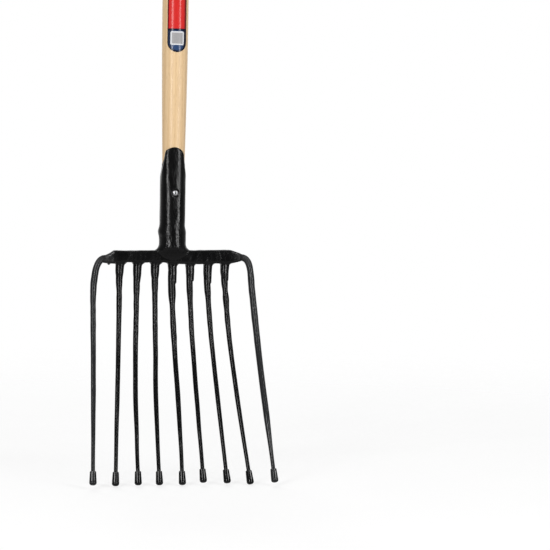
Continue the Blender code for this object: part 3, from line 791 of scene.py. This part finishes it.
def make_screw(material):
    """Round head with a small drive hole, on the flat floor of the dimple."""
    top = SCREW_LIFT + SCREW_HEAD_HEIGHT
    profile = [(0.0002, top - 0.0014), (0.0008, top - 0.0013), (SCREW_RECESS_RADIUS, top - 0.0002)]
    for step in range(SCREW_DOME_STEPS + 1):
        angle = math.radians(SCREW_TOP_ANGLE - SCREW_TOP_ANGLE * step / SCREW_DOME_STEPS)
        height = SCREW_LIFT + SCREW_HEAD_HEIGHT * math.sin(angle)
        profile.append((SCREW_HEAD_RADIUS * math.cos(angle), height))
    profile.append((SCREW_HEAD_RADIUS - 0.0001, SCREW_LIFT - 0.0003))
    profile += [(SCREW_SHANK_RADIUS, SCREW_LIFT - 0.0005), (SCREW_SHANK_RADIUS, -0.0150), (0.0004, -0.0200)]
    mesh = turned("screw", profile, steps=40)
    mesh.transform(Matrix.Rotation(math.pi / 2, 4, "X"))
    mesh.transform(Matrix.Translation((SCREW_SHIFT, -HEAD_SEAT, SCREW_HEIGHT)))
    place_piece("zinc_screw", mesh, material, ("socket_screw",), sharp=45.0)


def film_rows(bottom, top, corner, steps):
    """Heights of a film's rows, closer together towards its round corners."""
    rows = []
    for step in range(END_ROWS + 1):
        angle = math.pi / 2 * step / END_ROWS
        rows.append(bottom + corner * (1.0 - math.cos(angle)) + END_INSET)
    straight = top - bottom - 2 * corner
    rows += [bottom + corner + straight * step / steps for step in range(1, steps)]
    return rows + [bottom + top - height for height in rows[END_ROWS::-1]]


def film(name, bottom, top, half_width, corner, steps, low, high):
    """Closed thin sheet with round corners on the handle's front, between two distances from the wood."""
    rings = []
    for height in film_rows(bottom, top, corner, steps):
        inset = max(corner - min(height - bottom, top - height), 0.0)
        wide = half_width - corner + math.sqrt(max(corner ** 2 - inset ** 2, 1e-9))
        over, under = [], []
        for step in range(FILM_COLUMNS + 1):
            across = LABEL_SHIFT + wide * (2.0 * step / FILM_COLUMNS - 1.0)
            for line, lift in ((over, high), (under, low)):
                radius = handle_radius(height) + lift
                line.append(Vector((across, -math.sqrt(radius ** 2 - across ** 2), height)))
        rings.append(over + under[::-1])
    return skin(name, rings)


def make_label(material):
    """Long film with a half round at each end."""
    wide = LABEL_HALF_WIDTH
    mesh = film("label", LABEL_BOTTOM, LABEL_TOP, wide, wide, LABEL_ROWS, low=-0.0001, high=0.00018)
    place_piece("label_film", mesh, material, ("handle_label",), sharp=40.0)


def make_patch(material):
    """Small square film on the label."""
    top, wide = PATCH_BOTTOM + PATCH_SIZE, PATCH_SIZE / 2
    mesh = film("patch", PATCH_BOTTOM, top, wide, PATCH_CORNER, PATCH_ROWS, low=0.00010, high=0.00034)
    place_piece("label_sticker_film", mesh, material, ("label_sticker",), sharp=40.0)


# Nodes of the materials and of the world


class Nodes:
    """Short words for making nodes in a tree."""

    def __init__(self, tree):
        self.tree = tree

    def node(self, kind, sources=(), **settings):
        """Node with settings by attribute name, its sockets fed in their order or, from a dict, by name."""
        made = self.tree.nodes.new(kind)
        for key, value in settings.items():
            setattr(made, key, value)
        named = sources if isinstance(sources, dict) else dict(enumerate(sources))
        for key, value in named.items():
            self.feed(made.inputs[key], value)
        return made

    def feed(self, socket, value):
        """Feed a socket with a link or with a plain value."""
        if isinstance(value, bpy.types.NodeSocket):
            self.tree.links.new(value, socket)
        else:
            socket.default_value = value

    def split(self, vector):
        """The three coordinates of a vector."""
        return list(self.node("ShaderNodeSeparateXYZ", (vector,)).outputs)

    def math(self, operation, first, second=0.0):
        """Arithmetic on two values, or on one."""
        return self.node("ShaderNodeMath", (first, second), operation=operation).outputs["Value"]

    def product(self, first, second):
        """One value times another."""
        return self.math("MULTIPLY", first, second)

    def away(self, value, centre):
        """Distance of a value from a centre."""
        return self.math("ABSOLUTE", self.math("SUBTRACT", value, centre))

    def length(self, first, second):
        """Distance that two distances square to each other add up to."""
        return self.math("SQRT", self.math("ADD", self.product(first, first), self.product(second, second)))

    def largest(self, first, *others):
        """Largest of several values."""
        for other in others:
            first = self.math("MAXIMUM", first, other)
        return first

    def ramp(self, value, low, high, start=0.0, end=1.0, smooth=True):
        """Value mapped from one range to another, held at its ends."""
        kind = "SMOOTHSTEP" if smooth else "LINEAR"
        made = self.node("ShaderNodeMapRange", (value, low, high, start, end), interpolation_type=kind)
        return made.outputs["Result"]

    def blend(self, share, first, second):
        """Value on the straight way from one to another."""
        return self.ramp(share, 0.0, 1.0, first, second, smooth=False)

    def seen_directly(self, mirrored):
        """1 for the rays that show a background as it is, 0 for the rays that carry light.

        Reflections show the mirrored share of the background.
        """
        path = self.node("ShaderNodeLightPath").outputs
        glossy = self.product(path["Is Glossy Ray"], mirrored)
        return self.largest(path["Is Camera Ray"], path["Is Transmission Ray"], glossy)


class Painter(Nodes):
    """A material, and short words for its textures."""

    def __init__(self, name):
        self.material = bpy.data.materials.new(name)
        self.material.use_nodes = True
        super().__init__(self.material.node_tree)
        self.shader = self.tree.nodes["Principled BSDF"]
        self.place = self.node("ShaderNodeTexCoord").outputs["Object"]
        self.x, self.y, self.z = self.split(self.place)

    def stretched(self, scale, turn=(0.0, 0.0, 0.0)):
        """The surface's own place, turned and scaled along each axis."""
        sources = {"Vector": self.place, "Rotation": turn, "Scale": scale}
        return self.node("ShaderNodeMapping", sources).outputs["Vector"]

    def noise(self, vector, scale, detail, roughness):
        """Noise value between 0 and 1."""
        sources = {"Vector": vector, "Scale": scale, "Detail": detail, "Roughness": roughness}
        return self.node("ShaderNodeTexNoise", sources).outputs["Fac"]

    def mix(self, share, first, second):
        """Colour between two colours."""
        sources = {"Factor": share, "A": first, "B": second}
        return self.node("ShaderNodeMix", sources, data_type="RGBA").outputs["Result"]

    def uneven(self, cloud, low, high):
        """Roughness that follows a noise value between two roughnesses."""
        return self.ramp(cloud, 0.3, 0.7, low, high)

    def bump(self, height, distance, strength):
        """Surface relief from a height; the distance is in metres."""
        made = self.node("ShaderNodeBump", {"Height": height, "Distance": distance, "Strength": strength})
        self.feed(self.shader.inputs["Normal"], made.outputs["Normal"])

    def finish(self, colour, roughness, specular, metallic=0.0, coat=0.0, coat_roughness=0.1):
        """Feed the shader; values that are the same all over stay on its own sockets."""
        self.feed(self.shader.inputs["Base Color"], colour)
        self.feed(self.shader.inputs["Roughness"], roughness)
        self.shader.inputs["Specular IOR Level"].default_value = specular
        self.shader.inputs["Metallic"].default_value = metallic
        self.shader.inputs["Coat Weight"].default_value = coat
        self.shader.inputs["Coat Roughness"].default_value = coat_roughness
        return self.material


# Materials

# Colours, as red, green, blue and 1. A pair is mottled from the one to the other.
BLACKS = ((0.0010, 0.0010, 0.0011, 1.0), (0.0030, 0.0030, 0.0032, 1.0))
# Grey of real wear and of painted sheen: it lightens the knobs, the two outer rods and the bar's left end,
# where highlights fall
WEAR_AND_SHEEN_GREY = (0.0262, 0.0272, 0.0290, 1.0)
PALE_ASH = ((0.90, 0.66, 0.390, 1.0), (0.83, 0.590, 0.335, 1.0))
LATE_ASH = (0.70, 0.46, 0.235, 1.0)
FIBRE_BROWN = (0.63, 0.41, 0.21, 1.0)
PORE_BROWN = (0.36, 0.22, 0.11, 1.0)
ZINC = ((0.68, 0.69, 0.71, 1.0), (0.80, 0.80, 0.81, 1.0))
# Painted shade: the grey that darkens the screw's drive hole
HOLE_PAINTED_SHADE = (0.16, 0.16, 0.16, 1.0)
REDS = ((0.67, 0.024, 0.021, 1.0), (0.71, 0.030, 0.026, 1.0))
# Painted shade: the label's red darkened towards its right and left sides, where the light falls off round
# the handle
RED_RIGHT_PAINTED_SHADE = (0.10, 0.004, 0.005, 1.0)
RED_LEFT_PAINTED_SHADE = (0.14, 0.005, 0.006, 1.0)
BLUES = ((0.028, 0.064, 0.160, 1.0), (0.034, 0.074, 0.185, 1.0))
# Painted shade on the blue end: greyer towards its left side, navy towards its right; the navy is also the
# printed outline and band
BLUE_LEFT_PAINTED_SHADE = (0.026, 0.034, 0.064, 1.0)
NAVY_PRINT_AND_SHADE = (0.005, 0.006, 0.016, 1.0)
FIELD_GREYS = ((0.31, 0.305, 0.31, 1.0), (0.43, 0.42, 0.425, 1.0))
MARGIN_WHITE = (0.75, 0.76, 0.78, 1.0)
FLOOR_GREYS = ((0.34, 0.34, 0.34, 1.0), (0.36, 0.36, 0.36, 1.0))

# Ramps: two places, or two values of a noise, and what the ramp gives at each, 0 and 1 where left out
UPPER = (0.175, 0.225, 0.0, 1.0)
ON_BAR = (0.009, 0.014, 1.0, 0.0)
BELOW_BAR = (HEAD.z - 0.010, HEAD.z - 0.005, 1.0, 0.0)
ABOVE_RODS = (HEAD.z - 0.058, HEAD.z - 0.040, 0.0, 1.0)
END_LEVEL = (HEAD.z - 0.016, HEAD.z - 0.010, 0.0, 1.0)
BAR_RELIEF = (*RIGHT_END_SPAN, 0.55, 0.20)
# Where the grey of wear and painted sheen lies: the knobs' ends, the bar's left end and the two outer rods
KNOB_WEAR_AND_SHEEN = (0.0, 0.030, 0.12, 0.0)
LEFT_END_WEAR_AND_SHEEN = (-0.096, -0.080, 0.30, 0.0)
ROD_WEAR_AND_SHEEN = ((-0.106, -0.100, 0.64, 0.0), (0.102, 0.106, 0.0, 0.76))
DULL_ENDS = ((-0.100, -0.086, 0.42, 0.0), (0.094, 0.099, 0.0, 0.45))
PATCH_GLOSS = (0.35, 0.65, 0.19, 0.27)
LATE_WOOD = (0.35, 1.0, 0.0, 0.55)
FIBRES = (0.40, 0.75, 0.0, 0.40)
PORES = (0.62, 0.75, 0.0, 0.45)
SPLIT_BAND = (0.0013, 0.0017, 0.9, 0.0)
OUTLINE = (LABEL_HALF_WIDTH - 0.0014, LABEL_HALF_WIDTH - 0.0009, 0.0, 0.9)
END_OUTLINE = (LABEL_HALF_WIDTH - 0.0036, LABEL_HALF_WIDTH - 0.0018, 0.0, 0.9)
END_START = (0.004, 0.010)
MARGIN = (PATCH_SIZE / 2 - 0.0022, PATCH_SIZE / 2 - 0.0016)
# Painted shade towards the label's sides: a ramp across the film, and the colour it turns into
RED_PAINTED_SHADES = (((0.0092, 0.0124, 0.0, 0.85), RED_RIGHT_PAINTED_SHADE), ((-0.0132, -0.0116, 0.60, 0.0), RED_LEFT_PAINTED_SHADE))
BLUE_PAINTED_SHADES = (((-0.0110, -0.0060, 0.90, 0.0), BLUE_LEFT_PAINTED_SHADE), ((0.0060, 0.0110, 0.0, 0.95), NAVY_PRINT_AND_SHADE))


def black_paint():
    """Semi-gloss black over hammered steel: dents, fine orange peel, dull patches, and a blue-grey for wear
    and painted sheen on the outer rods, the knobs and the bar's left end.
    """
    paint = Painter("black paint")
    along = paint.stretched((1.0, 1.0, 0.42))
    rod_dents = paint.noise(along, 340.0, 2.0, 0.60)
    bar_dents = paint.noise(paint.stretched((0.6, 1.0, 1.0)), 240.0, 2.0, 0.60)
    grit = paint.noise(paint.place, 900.0, 3.0, 0.6)
    patches = paint.noise(along, 70.0, 3.0, 0.6)
    upper = paint.ramp(paint.z, *UPPER)
    on_bar = paint.ramp(paint.away(paint.z, HEAD.z), *ON_BAR)
    on_stubs = paint.product(paint.ramp(paint.z, *ABOVE_RODS), paint.ramp(paint.z, *BELOW_BAR))
    dents = paint.blend(on_bar, rod_dents, bar_dents)
    relief = paint.math("ADD", paint.product(dents, 0.85), paint.product(grit, 0.15))
    bar_relief = paint.ramp(on_bar, 0.0, 1.0, 1.0, paint.ramp(paint.x, *BAR_RELIEF))
    calm = paint.product(bar_relief, paint.ramp(on_stubs, 0.0, 1.0, 1.0, 0.50))
    paint.bump(relief, 0.00036, paint.product(calm, paint.blend(upper, 0.10, 1.0)))
    # Grey of wear and painted sheen on the bar's left end, the outer rods and the knobs
    left_end = paint.product(paint.ramp(paint.x, *LEFT_END_WEAR_AND_SHEEN), paint.ramp(paint.z, *END_LEVEL))
    rods = [paint.ramp(paint.x, *ramp) for ramp in ROD_WEAR_AND_SHEEN]
    wear_and_sheen = paint.largest(paint.ramp(paint.z, *KNOB_WEAR_AND_SHEEN), left_end, *rods)
    colour = paint.mix(wear_and_sheen, paint.mix(patches, *BLACKS), WEAR_AND_SHEEN_GREY)
    gloss = paint.product(paint.ramp(patches, *PATCH_GLOSS), paint.blend(upper, 0.32, 1.0))
    ends = paint.largest(*(paint.ramp(paint.x, *ramp) for ramp in DULL_ENDS))
    return paint.finish(colour, paint.largest(gloss, paint.product(ends, on_bar)), specular=0.42)


def varnished_ash():
    """Pale ash under clear varnish: straight grain in broad and fine lines, short pores."""
    wood = Painter("varnished ash")
    along = wood.stretched((1.0, 1.0, 0.030), (0.004, 0.006, 0.0))
    sources = {"Vector": along, "Scale": 62.0, "Distortion": 2.6, "Detail": 2.0, "Detail Scale": 1.2}
    rings = wood.node("ShaderNodeTexWave", sources, wave_type="BANDS", wave_profile="SAW").outputs["Fac"]
    fibres = wood.noise(along, 900.0, 3.0, 0.65)
    tone = wood.noise(wood.stretched((1.0, 1.0, 0.12)), 45.0, 2.0, 0.5)
    pores = wood.noise(wood.stretched((1.0, 1.0, 0.06)), 1500.0, 1.0, 0.5)
    grain = wood.mix(wood.ramp(rings, *LATE_WOOD), wood.mix(tone, *PALE_ASH), LATE_ASH)
    fine = wood.mix(wood.ramp(fibres, *FIBRES), grain, FIBRE_BROWN)
    colour = wood.mix(wood.ramp(pores, *PORES), fine, PORE_BROWN)
    wood.bump(wood.math("ADD", fibres, rings), 0.00003, 0.6)
    roughness = wood.uneven(fibres, 0.36, 0.50)
    return wood.finish(colour, roughness, specular=0.3, coat=0.32, coat_roughness=0.17)


def zinc_steel():
    """Dull zinc plating with painted shade in its drive hole."""
    steel = Painter("zinc steel")
    cloud = steel.noise(steel.place, 1400.0, 3.0, 0.6)
    upright = steel.math("SUBTRACT", steel.z, HEAD.z + SCREW_HEIGHT)
    sideways = steel.math("SUBTRACT", steel.x, SCREW_SHIFT)
    from_axis = steel.length(upright, sideways)
    # Painted shade that darkens the drive hole
    hole = steel.ramp(from_axis, SCREW_RECESS_RADIUS, 1.25 * SCREW_RECESS_RADIUS, 1.0, 0.0)
    steel.bump(cloud, 0.00004, 0.5)
    colour = steel.mix(hole, steel.mix(cloud, *ZINC), HOLE_PAINTED_SHADE)
    return steel.finish(colour, steel.uneven(cloud, 0.26, 0.42), specular=0.5, metallic=1.0)


def painted_side_shade(label, colour, sideways, shades):
    """Colour that turns into painted shade towards the sides of the label."""
    for ramp, shade in shades:
        colour = label.mix(label.ramp(sideways, *ramp), colour, shade)
    return colour


def label_print():
    """Glossy film: bare red with painted shade at its sides, a bare dark blue lower end with painted shade
    at its sides, and a dark printed outline.
    """
    label = Painter("label film")
    split = HEAD.z + LABEL_SPLIT
    low_end = HEAD.z + LABEL_BOTTOM + LABEL_HALF_WIDTH
    sideways = label.math("SUBTRACT", label.x, LABEL_SHIFT)
    cloud = label.noise(label.place, 300.0, 2.0, 0.5)
    # Red and blue, each with painted shade towards the film's sides
    red = painted_side_shade(label, label.mix(cloud, *REDS), sideways, RED_PAINTED_SHADES)
    blue = painted_side_shade(label, label.mix(cloud, *BLUES), sideways, BLUE_PAINTED_SHADES)
    lower = label.ramp(label.z, split - 0.0002, split + 0.0002, 1.0, 0.0)
    band = label.ramp(label.away(label.z, split - 0.0014), *SPLIT_BAND)
    below = label.largest(label.math("SUBTRACT", low_end, label.z), 0.0)
    outward = label.length(label.math("ABSOLUTE", sideways), below)
    edge = label.ramp(outward, *OUTLINE)
    end = label.product(label.ramp(outward, *END_OUTLINE), label.ramp(below, *END_START))
    colour = label.mix(label.largest(band, edge, end), label.mix(lower, red, blue), NAVY_PRINT_AND_SHADE)
    waves = label.noise(label.stretched((1.0, 1.0, 0.15)), 80.0, 1.0, 0.4)
    label.bump(waves, 0.00003, 0.03)
    return label.finish(colour, label.uneven(waves, 0.18, 0.22), specular=0.58)


def sticker_print():
    """Pale film with a white margin round a bare, faintly greyer field."""
    paper = Painter("sticker film")
    middle = HEAD.z + PATCH_BOTTOM + PATCH_SIZE / 2
    out = paper.largest(paper.away(paper.x, LABEL_SHIFT), paper.away(paper.z, middle))
    cloud = paper.noise(paper.place, 420.0, 3.0, 0.6)
    colour = paper.mix(paper.ramp(out, *MARGIN), paper.mix(cloud, *FIELD_GREYS), MARGIN_WHITE)
    paper.bump(cloud, 0.00002, 0.4)
    return paper.finish(colour, paper.uneven(cloud, 0.38, 0.5), specular=0.5)


# Floor, light and camera

FLOOR_RADIUS = 8.0
FLOOR_GLOW = 0.67
FLOOR_FADE = (0.5, 2.2)
FLOOR_MIRRORED = (0.1, 0.8)
BACKDROP_SPAN = (0.62, 1.00)
WALL_SPAN = (-0.6, 0.6)
CEILING_SPAN = (0.45, 0.75)
ROOM_FRONT = 0.17
ROOM_SIDES = 0.45
MIRRORED_FRONT = 0.055
MIRRORED_BACK = 0.23
MIRRORED_CEILING = 0.14
STRIP_DISTANCE = 2.3
# Name, lower end, upper end and mirrored share of each band of a strip
STRIP_BANDS = (("foot", -0.31, 0.34, 1.0), ("middle", 0.34, 0.95, 0.55), ("head", 0.95, 1.40, 1.12))
IMAGE_SIDE = 550
CAMERA_AZIMUTH = -9.5
CAMERA_ELEVATION = 2.7
CAMERA_ROLL = 0.78
CAMERA_DISTANCE = 3.0
METRES_PER_PIXEL = 0.001494
HEAD_PIXEL = (172.2, 257.5)


def make_world():
    """White to look at, and otherwise an even soft light that is stronger from the sides.

    Reflections show the white backdrop behind the fork, which stands square to the camera, and round it
    a dim room that is brighter towards the back and under its ceiling.
    """
    world = bpy.data.worlds.new("studio")
    bpy.context.scene.world = world
    world.use_nodes = True
    studio = Nodes(world.node_tree)
    outward = studio.node("ShaderNodeTexCoord").outputs["Generated"]
    side, _, upward = studio.split(outward)
    turn = math.radians(-CAMERA_AZIMUTH)
    backward = (math.sin(turn), math.cos(turn), 0.0)
    behind = studio.node("ShaderNodeVectorMath", (outward, backward), operation="DOT_PRODUCT")
    behind = behind.outputs["Value"]
    backdrop = studio.ramp(behind, *BACKDROP_SPAN, smooth=False)
    soft = studio.blend(studio.math("ABSOLUTE", side), ROOM_FRONT, ROOM_SIDES)
    walls = studio.ramp(behind, *WALL_SPAN, MIRRORED_FRONT, MIRRORED_BACK, smooth=False)
    ceiling = studio.ramp(upward, *CEILING_SPAN, 0.0, MIRRORED_CEILING, smooth=False)
    glossy = studio.node("ShaderNodeLightPath").outputs["Is Glossy Ray"]
    room = studio.blend(glossy, soft, studio.math("ADD", walls, ceiling))
    back = studio.tree.nodes["Background"]
    studio.feed(back.inputs["Strength"], studio.blend(studio.seen_directly(backdrop), room, 1.0))
    studio.feed(back.inputs["Color"], (1.0, 1.0, 1.0, 1.0))


def floor_paint():
    """Pale grey that glows for the camera and fades out into the white background."""
    grey = Painter("floor")
    away = grey.node("ShaderNodeVectorMath", (grey.place,), operation="LENGTH").outputs["Value"]
    cloud = grey.noise(grey.place, 6.0, 3.0, 0.5)
    grey.finish(grey.mix(cloud, *FLOOR_GREYS), roughness=0.9, specular=0.0)
    strength = grey.product(grey.seen_directly(grey.ramp(grey.y, *FLOOR_MIRRORED)), FLOOR_GLOW)
    glow = grey.node("ShaderNodeEmission", {"Strength": strength}).outputs["Emission"]
    lit = grey.node("ShaderNodeAddShader", (grey.shader.outputs["BSDF"], glow)).outputs["Shader"]
    clear = grey.node("ShaderNodeBsdfTransparent").outputs["BSDF"]
    faded = grey.node("ShaderNodeMixShader", (grey.ramp(away, *FLOOR_FADE), lit, clear))
    grey.feed(grey.tree.nodes["Material Output"].inputs["Surface"], faded.outputs["Shader"])
    return grey.material


def make_floor():
    """Wide floor that keeps the fork's shadow."""
    mesh = bpy.data.meshes.new("floor")
    ring = level_ring(Vector(), FLOOR_RADIUS, FLOOR_RADIUS, steps=64)
    mesh.from_pydata(ring, [], [range(len(ring))])
    mesh.materials.append(floor_paint())
    floor = add_object("floor", mesh)


def make_lamp(name, azimuth, distance, height, width, tall, power, mirrored=True):
    """Upright soft box at an azimuth round the fork, facing it. Azimuth 0 is in front, 90 to the right."""
    light = bpy.data.lights.new(name, "AREA")
    light.shape = "RECTANGLE"
    light.size = width
    light.size_y = tall
    light.energy = power
    lamp = add_object(name, light)
    angle = math.radians(azimuth)
    lamp.location = HEAD + Vector((distance * math.sin(angle), -distance * math.cos(angle), height))
    towards = HEAD - lamp.location
    towards.z = 0.0
    lamp.rotation_euler = towards.to_track_quat("-Z", "Y").to_euler()
    lamp.visible_glossy = mirrored


def make_strip(side, azimuth, width, power):
    """Tall soft box in three bands, with a power for each metre, dimmer in the middle where mirrored."""
    for band, low, high, share in STRIP_BANDS:
        spot = (azimuth, STRIP_DISTANCE, (low + high) / 2, width, high - low)
        whole = power * (high - low)
        make_lamp(f"{side} strip {band}", *spot, share * whole)
        if share < 1.0:
            make_lamp(f"{side} fill {band}", *spot, (1.0 - share) * whole, mirrored=False)


def make_lights():
    """Two tall strips beside the camera, two big high boxes further out and one behind the fork."""
    make_strip("left", azimuth=-34.0, width=0.36, power=13.74)
    make_strip("right", azimuth=33.5, width=0.40, power=11.99)
    for side, azimuth in (("left", -54.0), ("right", 54.0)):
        make_lamp("upper " + side, azimuth, distance=8.0, height=6.95, width=2.80, tall=1.85, power=215.0)
    make_lamp("upper back", 180.0, 3.6, height=2.60, width=2.00, tall=1.60, power=95.0, mirrored=False)


def make_camera():
    """Camera at the photograph's angle, with the crossbar's centre at its place in the picture."""
    azimuth, elevation, roll = map(math.radians, (CAMERA_AZIMUTH, CAMERA_ELEVATION, CAMERA_ROLL))
    back = Vector((
        math.sin(azimuth) * math.cos(elevation),
        -math.cos(azimuth) * math.cos(elevation),
        math.sin(elevation),
    ))
    level = Vector((math.cos(azimuth), math.sin(azimuth), 0.0))
    upright = back.cross(level)
    right = level * math.cos(roll) + upright * math.sin(roll)
    up = upright * math.cos(roll) - level * math.sin(roll)
    half = IMAGE_SIDE / 2
    aim = HEAD + right * ((half - HEAD_PIXEL[0]) * METRES_PER_PIXEL)
    aim -= up * ((half - HEAD_PIXEL[1]) * METRES_PER_PIXEL)
    data = bpy.data.cameras.new("camera")
    camera = add_object("camera", data)
    camera.location = HEAD + back * CAMERA_DISTANCE
    toward_camera = (camera.location - aim).normalized()
    side = up.cross(toward_camera).normalized()
    top = toward_camera.cross(side)
    camera.rotation_euler = Matrix((side, top, toward_camera)).transposed().to_euler()
    data.sensor_width = 36.0
    data.lens = data.sensor_width * CAMERA_DISTANCE / (IMAGE_SIDE * METRES_PER_PIXEL)
    data.clip_start = 0.05
    data.clip_end = 100.0
    bpy.context.scene.camera = camera


bpy.context.scene.view_settings.view_transform = "Standard"

paint = black_paint()
make_crossbar(paint)
make_tines(paint)
make_socket(paint)
make_handle(varnished_ash())
make_screw(zinc_steel())
make_label(label_print())
make_patch(sticker_print())

make_floor()
make_world()
make_lights()
make_camera()
